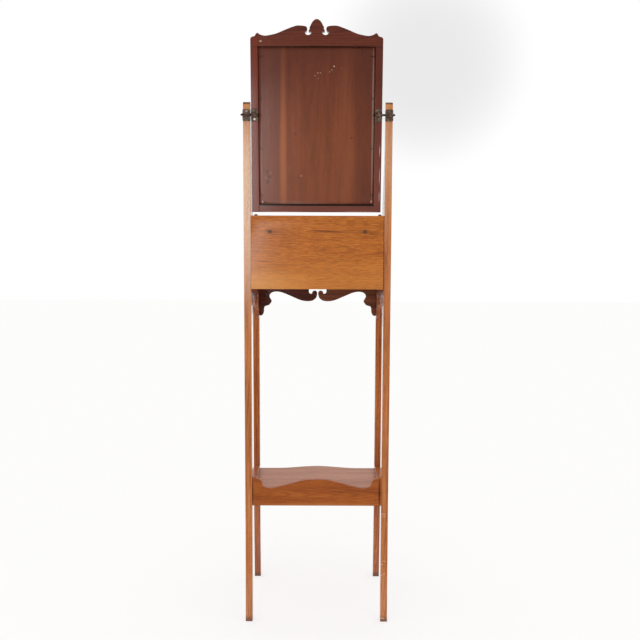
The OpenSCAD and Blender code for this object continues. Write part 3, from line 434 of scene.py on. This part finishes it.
dress("rear_leg_left", wood("oak_rear_leg_left", "rear_leg_left", "Z", "X", OAK, OAK_PORE,
                            heart=(-60, 30), lean=0.015, figure=0.34, streak=0.85, blotch=0.6, seed=2,
                            marks=leg_marks(0.45, 1.30, LEFT_POST_MARKS)))
# The front legs in the darker oak, a painted shade
for seed, node in enumerate(("front_leg_left", "front_leg_right")):
    dress(node, wood("oak_" + node, node, "Z", "X", SHADED_FRONT_OAK, OAK_PORE,
                     heart=(50, 25), lean=0.02, figure=0.34, streak=0.85, blotch=0.6, seed=3 + seed,
                     marks=leg_marks(0, 1.3)))

# ------------------------------------------------------------------ cabinet carcase
# Top, bottom and sides are oak boards with the grain round the case, so that they move
# together. The top overhangs, and its bowed front edge is rounded over.
dress("cabinet_top", wood("oak_top", "cabinet_top", "X", "Z", OAK, OAK_PORE, heart=(-20, 48),
                          lean=0.05, seed=5), arris=2.5, flat=False)
dress("cabinet_bottom", wood("oak_bottom", "cabinet_bottom", "X", "Z", OAK, OAK_PORE,
                             heart=(25, 45), seed=6))
for seed, node in enumerate(("cabinet_side_left", "cabinet_side_right")):
    dress(node, wood("oak_" + node, node, "Z", "X", OAK, OAK_PORE, heart=(12, 52), lean=0.07,
                     seed=7 + seed))

# ------------------------------------------------------------------ cabinet back
# One wide flat-sawn board under a thin golden varnish, its grain level. Iron screws at the
# top corners have stained the wood round them, and a shake runs between.
HONEY, HONEY_PORE = ("DE822B", "C56C1F", "9C4F12"), "7A4118"
STREAK, SHAKE, PALE_AND_SHEEN = "7E4218", "5A2A10", "F2AC5C"
# A shake, dark streaks of the grain, and the paler lower corner, partly paler wood and partly a painted
# sheen
BACK_ROWS = (
    (331, 231.8, 36, 1.5, 0.9, SHAKE, 0.7), (319, 230.6, 24, 1.2, 0.6, SHAKE, 0.8),
    (277, 234.5, 22, 1.2, 0.5, STREAK, 0.8), (356, 230.0, 26, 1.3, 0.55, STREAK, 0.8),
    (374, 233.8, 20, 1.4, 0.55, STREAK, 0.8), (258, 226.5, 20, 1.2, 0.4, STREAK, 0.8),
    (262, 261, 26, 1.3, 0.4, STREAK, 0.8), (291, 265, 30, 1.2, 0.4, STREAK, 0.8),
    (318, 251, 26, 1.1, 0.35, STREAK, 0.8), (352, 266, 34, 1.2, 0.35, STREAK, 0.8),
    (338, 247, 26, 1.2, 0.3, STREAK, 0.8), (262, 283, 80, 24, 0.4, PALE_AND_SHEEN, 0.9))
DASH_LENGTH, DASH_WIDTH = 0.05, 0.7
DARK_DASH, PALE_DASH = "864412", "E6983E"
# The foot's pale tone is partly paler wood and partly a painted sheen; the seam tone is painted shade in
# the gaps at the board's ends
FOOT_PALE_AND_SHEEN, RUST, BLEED, GAP_SHADE = "E89A48", "4A2412", "6E3A18", "3A1C0C"
PALE_SHEEN_HIGH = 0.12          # the board's foot is paler, partly a painted sheen, up to here, in metres


def back_marks(tree, colour, place):
    """Short dashes, the paler foot with a painted sheen, the screws' rust, dark streaks, and painted
    shade in the gaps at its ends.
    """
    low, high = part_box("cabinet_back")
    # A dash is 1.4 mm by about 20 mm, twice the real size, so that it shows
    dashes = add(tree, "CombineXYZ",
                 {0: add(tree, "Math", {0: place[0], 1: DASH_LENGTH}, operation="MULTIPLY"),
                  1: add(tree, "Math", {0: place[1], 1: DASH_WIDTH}, operation="MULTIPLY")})
    dashes = add(tree, "TexNoise", {"Vector": dashes, "Scale": 1.0, "Detail": 3.0, "Distortion": 0.6})
    for start, end, strength, tone in ((0.52, 0.68, 0.6, DARK_DASH), (0.48, 0.34, 0.4, PALE_DASH)):
        part = add(tree, "MapRange", {"Value": dashes, "From Min": start, "From Max": end,
                                      "To Max": strength})
        colour = add(tree, "MixRGB", {"Fac": part, "Color1": colour, "Color2": linear(tone)})
    # Paler towards the foot: paler wood with a painted sheen
    pale_and_sheen = height_share(tree, low.z + PALE_SHEEN_HIGH, low.z)
    pale_and_sheen = add(tree, "Math", {0: pale_and_sheen, 1: 0.3}, operation="MULTIPLY")
    colour = add(tree, "MixRGB", {"Fac": pale_and_sheen, "Color1": colour, "Color2": linear(FOOT_PALE_AND_SHEEN)})
    first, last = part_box("back_screws")
    head = (last.z - first.z) / 2
    for x in (first.x + head, last.x - head):
        for wide, tall, soft, strength, tone in ((6, 5, 0.5, 0.75, RUST), (26, 3, 0.8, 0.5, BLEED)):
            ring = spot(tree, x, first.z + head, wide * MM, tall * MM, soft)
            ring = add(tree, "Math", {0: ring, 1: strength}, operation="MULTIPLY")
            colour = add(tree, "MixRGB", {"Fac": ring, "Color1": colour, "Color2": linear(tone)})
    colour = patches(tree, colour, back_plane, BACK_ROWS)
    # Painted shade in the gaps between the board's ends and the posts
    for edge, width, strength in ((low.x, 1.8, 0.85), (high.x, 0.8, 0.35)):
        gap_shade = spot(tree, edge, (low.z + high.z) / 2, width * MM, 1.0, 0.6)
        gap_shade = add(tree, "Math", {0: gap_shade, 1: strength}, operation="MULTIPLY")
        colour = add(tree, "MixRGB", {"Fac": gap_shade, "Color1": colour, "Color2": linear(GAP_SHADE)})
    return colour


dress("cabinet_back", wood("honey_oak_back", "cabinet_back", "X", "Y", HONEY, HONEY_PORE, ring=4.2,
                           heart=(14, 30), lean=0.04, sway=8, figure=0.22, streak=1.0, blotch=0.45,
                           pores=0.35, seed=9, marks=back_marks), arris=0)
CLEAT_PINE, CLEAT_PORE = ("D9B27C", "C79A5E", "A87A42"), "8E6636"
dress("back_cleat", wood("pine_cleat", "back_cleat", "X", "Y", CLEAT_PINE, CLEAT_PORE,
                         heart=(10, 60), pores=0.1, rough=0.6, coat=0, seed=10))

# ------------------------------------------------------------------ drawer rails
# The rail between the drawers is oak. Runners, guides and stops inside are plain pine.
PINE, PINE_PORE = ("E0BC88", "CDA068", "AE8048"), "9A7040"
dress("drawer_divider", wood("oak_divider", "drawer_divider", "X", "Y", OAK, OAK_PORE, seed=11))
for seed, node in enumerate(("upper_runner_left", "upper_runner_right", "lower_guide_left",
                             "lower_guide_right", "drawer_stops")):
    dress(node, wood("pine_" + node, node, "Y", "X", PINE, PINE_PORE, heart=(10, 70), pores=0.1,
                     rough=0.6, coat=0, worn=0, seed=12 + seed))

# ------------------------------------------------------------------ drawers
# Fronts of quarter-sawn oak, whose rays show as pale ribbons; sides, backs and bottoms of
# bare pine, dovetailed.
QUARTERED = ("DC9050", "C27038", "904A22")
for seed, drawer in enumerate(("upper_drawer", "lower_drawer")):
    front = drawer + "_front"
    dress(front, wood("quartered_" + front, front, "X", "Y", QUARTERED, OAK_PORE, ring=4,
                      heart=(210, 20), lean=0.01, sway=5, fleck=0.45, seed=20 + seed), arris=0.5)
    for part, grain, face, board in (("side_left", "Y", "X", 31), ("side_right", "Y", "X", 32),
                                     ("back", "X", "Y", 26), ("bottom", "X", "Z", 28)):
        node = f"{drawer}_{part}"
        dovetailed = part.startswith("side")
        dress(node, wood("pine_" + node, node, grain, face, PINE, PINE_PORE, heart=(10, 60),
                         pores=0.1, rough=0.6, coat=0, worn=0.1, seed=board + 5 * seed),
              arris=0.4, flat=not dovetailed, rims=dovetailed)
    dress(drawer + "_knobs", wood("oak_knobs_" + drawer, drawer + "_knobs", "X", "Z", QUARTERED,
                                  OAK_PORE, ring=3, heart=(90, 10), seed=31 + seed), arris=0.3)

# ------------------------------------------------------------------ aprons
# Sawn out of thin oak with a bow saw: two swan necks in front whose scrolls meet, and a
# bracketed board at each side. The two front halves are from different boards.
RED_OAK, RED_PORE = ("6F2D11", "581E09", "3D1204"), "2E170E"
BROWN_OAK, BROWN_PORE = ("9E5F32", "7C4424", "582C16"), "3A1E12"
SIDE_OAK = ("C97E50", "A55A34", "763A20")
dress("front_apron_right", wood("oak_front_apron_right", "front_apron_right", "X", "Y",
                                RED_OAK, RED_PORE, heart=(10, 38), seed=41))
dress("front_apron_left", wood("oak_front_apron_left", "front_apron_left", "X", "Y",
                               BROWN_OAK, BROWN_PORE, heart=(-12, 40), seed=42))
for seed, node in enumerate(("side_apron_left", "side_apron_right")):
    dress(node, wood("oak_" + node, node, "Y", "X", SIDE_OAK, OAK_PORE, heart=(10, 40),
                     seed=43 + seed))
dress("apron_glue_blocks", wood("pine_glue_blocks", "apron_glue_blocks", "X", "Y", PINE, PINE_PORE,
                                pores=0.1, rough=0.65, coat=0, seed=45))

# ------------------------------------------------------------------ corner finials
# Small finials turned in oak and stained dark, each dowelled into the top over a front
# leg.
STAINED, STAINED_PORE = ("8A5440", "6A3A2A", "48241A"), "241009"
for seed, node in enumerate(("corner_finial_left", "corner_finial_right")):
    dress(node, wood("stained_" + node, node, "Z", "X", STAINED, STAINED_PORE, ring=3,
                     seed=46 + seed), arris=0.3)

# ------------------------------------------------------------------ shelf
# A board whose front swells forward in its middle, housed in three shaped rails. Its top
# has dulled where towels lay; the back rail shows arched flat-sawn figure.
SHELF, SHELF_PORE = ("D48556", "B36B41", "894E32"), "4A2A1C"
RAIL = ("CB732A", "A9561E", "773710")
DARK_JOINT, BRIGHT_ARRIS = "2E150A", "E09A58"
dress("shelf_board", wood("shelf_oak", "shelf_board", "X", "Z", SHELF, SHELF_PORE, ring=5,
                          heart=(0, 50), lean=0.03, figure=0.2, streak=0.6, coat=0.4, seed=51))
rail_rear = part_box("shelf_back_rail")[1].y
RAIL_ROWS = (
    (252.4, 493, 2.2, 40, 0.8, DARK_JOINT, 0.4), (379.3, 493, 2.2, 40, 0.8, DARK_JOINT, 0.4),
    (316, 504.2, 190, 1.6, 0.35, BRIGHT_ARRIS, 0.5))


def rail_marks(tree, colour, place):
    """The dark joints with the posts, and the arris rubbed bright along the foot."""
    return patches(tree, colour, rail_rear, RAIL_ROWS)


dress("shelf_back_rail", wood("oak_back_rail", "shelf_back_rail", "X", "Y", RAIL, OAK_PORE,
                              ring=3.6, heart=(-8, 22), lean=0.06, sway=7, figure=0.2, streak=0.6,
                              worn=0.35, coat=0.3, seed=52, marks=rail_marks), arris=0.5)
for seed, node in enumerate(("shelf_side_rail_left", "shelf_side_rail_right")):
    dress(node, wood("oak_" + node, node, "Y", "X", RAIL, OAK_PORE, heart=(8, 30), worn=0.5,
                     seed=53 + seed))

# ------------------------------------------------------------------ swivels
# Thin iron castings with a brown bronze wash, worn to the metal on what stands proud. Each
# is screwed on; a steel pin runs through the two barrels.
SAND, RUB_CLOUD = 1.1, 0.22 # sand marks 0.9 mm wide and rubbed places 4.5 mm wide
PROUD_EDGE = 0.9            # how far an edge is rubbed bright, in mm
VERDIGRIS, GREEN_DROP = "6A6450", (2, 14)   # it sets in between so far under the pin, in mm


def casting(name, dark, bright, rough=0.5, metal=0.35, rows=()):
    """Cast iron with a bronze wash: grainy, rubbed bright on its edges, greener low down."""
    material = bpy.data.materials.new(name)
    material.use_nodes = True
    tree = material.node_tree
    shader = tree.nodes["Principled BSDF"]
    place = add(tree, "Mapping", {"Vector": add(tree, "TexCoord", out="Object"), "Scale": (1 / MM,) * 3})
    sand = add(tree, "TexNoise", {"Vector": place, "Scale": SAND, "Detail": 4.0})
    cloud = add(tree, "TexNoise", {"Vector": place, "Scale": RUB_CLOUD, "Detail": 2.0})
    edge = add(tree, "Bevel", {"Radius": PROUD_EDGE * MM}, samples=4)
    edge = add(tree, "VectorMath", {0: edge, 1: add(tree, "NewGeometry", out="Normal")}, out="Value",
               operation="DOT_PRODUCT")
    edge = add(tree, "MapRange", {"Value": edge, "From Min": 0.98, "From Max": 0.75, "To Max": 0.5})
    rub = add(tree, "MapRange", {"Value": cloud, "From Min": 0.42, "From Max": 0.70})
    rub = add(tree, "Math", {0: edge, 1: rub}, operation="MAXIMUM")
    colour = add(tree, "MixRGB", {"Fac": rub, "Color1": linear(dark), "Color2": linear(bright)})
    green = height_share(tree, pivot_z - GREEN_DROP[0] * MM, pivot_z - GREEN_DROP[1] * MM)
    green = add(tree, "Math", {0: green, 1: 0.35}, operation="MULTIPLY")
    colour = add(tree, "MixRGB", {"Fac": green, "Color1": colour, "Color2": linear(VERDIGRIS)})
    colour = patches(tree, colour, swivel_rear, rows)
    bump = add(tree, "Bump", {"Height": sand, "Strength": 0.4, "Distance": 0.25 * MM})
    for socket, value in (("Base Color", colour), ("Normal", bump)):
        tree.links.new(value, shader.inputs[socket])
    shader.inputs["Metallic"].default_value = metal
    shader.inputs["Roughness"].default_value = rough
    return material


low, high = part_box("pivot_pin_left")
pivot_z = (low.z + high.z) / 2
swivel_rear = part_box("post_bracket_left")[1].y
GLINT, SHEEN = "FFF6EE", "D8BFB4"
# A painted glint and a painted sheen lie on two heads on the stand's right
HEAD_GLINTS = ((253.8, 119.3, 6, 6, 0.95, GLINT, 0.2), (245.8, 111.0, 6, 5, 0.8, SHEEN, 0.3))
bronzed = casting("bronzed_casting", dark="64443A", bright="A08870")
pin_iron = casting("pin_iron", dark="2A2422", bright="4A423C", rough=0.4, metal=0.6)
heads = casting("screw_heads", dark="5A4A40", bright="9A8A78", rough=0.4, rows=HEAD_GLINTS)
for side in ("left", "right"):
    dress("post_bracket_" + side, bronzed, arris=0.4)
    dress("stile_plate_" + side, bronzed, arris=0.4)
    dress("pivot_pin_" + side, pin_iron, arris=0)
for node in ("post_bracket_screws", "stile_plate_screws"):
    dress(node, heads, arris=0)
for node in ("back_screws", "backboard_brads"):
    dress(node, casting("iron_" + node, dark="3A2A22", bright="7A6A5C"), arris=0)

# ------------------------------------------------------------------ mirror frame
# Oak stained red-brown, rebated and tenoned together; the crest is sawn in one board with
# the top rail. A painted sheen pales it towards the foot, and one stile took the stain warmer.
FRAME, FRAME_PORE = ("843B23", "6D2D1A", "4B1D10"), "2A120C"
WARM_FRAME = ("993C1F", "7F2F17", "581E0D")
# Painted shadow for the recesses and beside the plates, a nick, rubbed arrises, and a painted sheen on a
# stile's side
RECESS_SHADOW, PLATE_SHADOW, NICK, WORN_ARRIS, SIDE_SHEEN = "1E0F0C", "160C0A", "D9B7A0", "C8998A", "D8C4BA"
LOW_SHEEN, SHEEN_HIGH = "96584A", 0.42           # a painted sheen pales the frame below this height, in metres
frame_low, frame_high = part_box("mirror_stile_left")
# The painted shadow in the recess under the backboard's edge runs the whole length of the bottom rail
BOTTOM_RECESS_SHADOW = (317, 204.3, 2000, 2.6, 1.0, RECESS_SHADOW, 0.3)
# A painted shadow in the recess over the board, painted shadows beside the plates, a nick, arrises rubbed
# pale, and a painted sheen on one stile's side
FRAME_ROWS = (
    (317, 46.8, 162, 2.7, 1.0, RECESS_SHADOW, 0.3),
    (258.6, 111.5, 2.4, 4.6, 0.85, PLATE_SHADOW, 0.4), (258.6, 119.5, 2.4, 4.0, 0.85, PLATE_SHADOW, 0.4),
    (374.8, 114.5, 2.4, 17, 0.85, PLATE_SHADOW, 0.4), (260.5, 41, 3, 2, 0.8, NICK, 0.5),
    (282, 211.3, 50, 1.8, 0.6, WORN_ARRIS, 0.5), (360, 211.3, 44, 1.8, 0.5, WORN_ARRIS, 0.5),
    (380.3, 150, 0.9, 14, 0.7, SIDE_SHEEN, 0.4), (380.2, 176, 0.9, 20, 0.7, SIDE_SHEEN, 0.4),
    (379.9, 196, 0.9, 12, 0.7, SIDE_SHEEN, 0.4))


def frame_marks(rows):
    """The painted sheen towards the foot, and the rows' painted shadows, nick, rubbed arrises and sheen.
    """
    def marks(tree, colour, place):
        # A painted sheen pales the frame towards its foot
        low_sheen = height_share(tree, frame_low.z + SHEEN_HIGH, frame_low.z)
        low_sheen = add(tree, "Math", {0: low_sheen, 1: 0.45}, operation="MULTIPLY")
        colour = add(tree, "MixRGB", {"Fac": low_sheen, "Color1": colour, "Color2": linear(LOW_SHEEN)})
        return patches(tree, colour, frame_high.y, rows, turned=-0.3)
    return marks


for seed, (node, grain, heart, arris) in enumerate((
        ("mirror_stile_left", "Z", 50, 0.7), ("mirror_stile_right", "Z", 50, 0.7),
        ("mirror_bottom_rail", "X", 14, 1.0), ("mirror_crest_rail", "X", 14, 1.0))):
    tones = WARM_FRAME if node == "mirror_stile_right" else FRAME
    rows = FRAME_ROWS + (BOTTOM_RECESS_SHADOW,) if node == "mirror_bottom_rail" else FRAME_ROWS
    scrolled = node == "mirror_crest_rail"      # its edges crowd in the scrolls
    dress(node, wood("stained_" + node, node, grain, "Y", tones, FRAME_PORE, ring=5,
                     heart=(heart, 34), lean=0.03, worn=0.5, seed=61 + seed,
                     marks=frame_marks(rows)), arris=arris, rims=scrolled, clamped=scrolled)

# ------------------------------------------------------------------ glass
# Silvered plate glass. The light comes back from the silver on its rear, so the whole
# pane is drawn as that bright, nearly smooth metal.
SILVER, SILVER_ROUGH = "E6E8E8", 0.03
silver = bpy.data.materials.new("silvered_glass")
silver.use_nodes = True
shader = silver.node_tree.nodes["Principled BSDF"]
shader.inputs["Base Color"].default_value = linear(SILVER)
shader.inputs["Metallic"].default_value = 1
shader.inputs["Roughness"].default_value = SILVER_ROUGH
dress("mirror_glass", silver, arris=0.2)

# ------------------------------------------------------------------ backboard
# A thin softwood board, stained like the frame, its edges bevelled to drop in the rebate.
BACKBOARD, BOARD_PORE = ("944824", "81381C", "622813"), "341710"
board_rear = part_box("mirror_backboard")[1].y
# The mauve tone is a painted sheen
MAUVE_SHEEN, ORANGE, LIVER = "734135", "B5632F", "5C2A1A"
AMBER, TAN, TAWNY = "A05A32", "A2603F", "A8683C"
STAIN, BLOT, CHIP, DENT = "2C1611", "3C362F", "EFDCCB", "C99B7C"
# The bevel tone is a painted sheen, and the pale foot tone a rubbed arris with a painted highlight
BEVEL_SHEEN, FOOT_ARRIS_HIGHLIGHT, BRAD, BRAD_HOLE = "B09488", "B08A80", "DCC6BA", "241412"
# Upright bands of one wide board, the mauve one at the left a painted sheen, then its darker top and
# paler foot
BOARD_BANDS = (
    (268, 130, 36, 900, 0.45, MAUVE_SHEEN, 0.3), (283, 165, 8, 190, 0.60, ORANGE, 0.5),
    (283, 100, 6, 900, 0.35, ORANGE, 0.6), (346, 120, 17, 900, 0.25, AMBER, 0.6),
    (366, 120, 24, 900, 0.45, LIVER, 0.5), (318, 45, 400, 110, 0.65, LIVER, 0.9),
    (318, 205, 400, 110, 0.30, TAN, 0.9))
# Small stains, one large blot with a paler middle, then the warm middle and a dark corner
BOARD_STAINS = (
    (295, 133, 3.0, 3.4, 0.55, STAIN, 0.6), (300, 129, 2.2, 2.2, 0.4, STAIN, 0.6),
    (352, 137, 3.5, 3, 0.5, STAIN, 0.6), (266.5, 171, 4, 5, 0.55, BLOT, 0.6),
    (268.5, 176, 5, 4, 0.6, BLOT, 0.6), (267, 181, 4, 5, 0.55, BLOT, 0.6),
    (270, 172, 2, 3, 0.12, CHIP, 0.8), (265, 177, 2, 3, 0.10, CHIP, 0.8),
    (318, 140, 110, 120, 0.22, TAWNY, 0.9), (366, 190, 26, 60, 0.4, LIVER, 0.9))
# Chips down to the bare wood, in two short lines, and a dent
BOARD_CHIPS = (
    (334.1, 66.1, 1.9, 1.3, 0.8, CHIP, 0.5), (341.3, 67.5, 1.6, 1.2, 0.5, ORANGE, 0.6),
    (331.7, 69.6, 1.5, 1.3, 0.35, CHIP, 0.7), (329.6, 71.6, 1.6, 1.0, 0.3, CHIP, 0.7),
    (317.8, 72.6, 1.7, 1.0, 0.5, CHIP, 0.6), (320.4, 72.5, 1.4, 0.9, 0.55, CHIP, 0.6),
    (315, 75.3, 1.2, 1.2, 0.35, CHIP, 0.7), (318.4, 77.9, 1.3, 0.9, 0.25, CHIP, 0.7),
    (301, 175, 2.4, 1.8, 0.6, DENT, 0.5))
# A painted sheen on the right bevel, a rubbed arris with a painted highlight along the foot, and a brad
# shows in each lower corner
BOARD_EDGES = (
    (373.0, 125, 2.4, 205, 0.6, BEVEL_SHEEN, 0.3), (290, 202.3, 80, 1.4, 0.45, FOOT_ARRIS_HIGHLIGHT, 0.6),
    (261.8, 201.2, 2.2, 2.2, 0.8, BRAD, 0.4), (263.6, 201.3, 2.0, 2.2, 0.8, BRAD_HOLE, 0.4),
    (371.9, 200.8, 2.2, 2.2, 0.8, BRAD, 0.4))


def board_marks(tree, colour, place):
    """Bands, stains, chips and edges, each laid over the ones before."""
    rows = BOARD_BANDS + BOARD_STAINS + BOARD_CHIPS + BOARD_EDGES
    return patches(tree, colour, board_rear, rows)


dress("mirror_backboard", wood("stained_backboard", "mirror_backboard", "Z", "Y", BACKBOARD,
                               BOARD_PORE, ring=11, heart=(40, 60), lean=0.004, sway=4,
                               figure=0.10, streak=0.75, blotch=0.5, pores=0.3, seed=71,
                               marks=board_marks), arris=0.4)
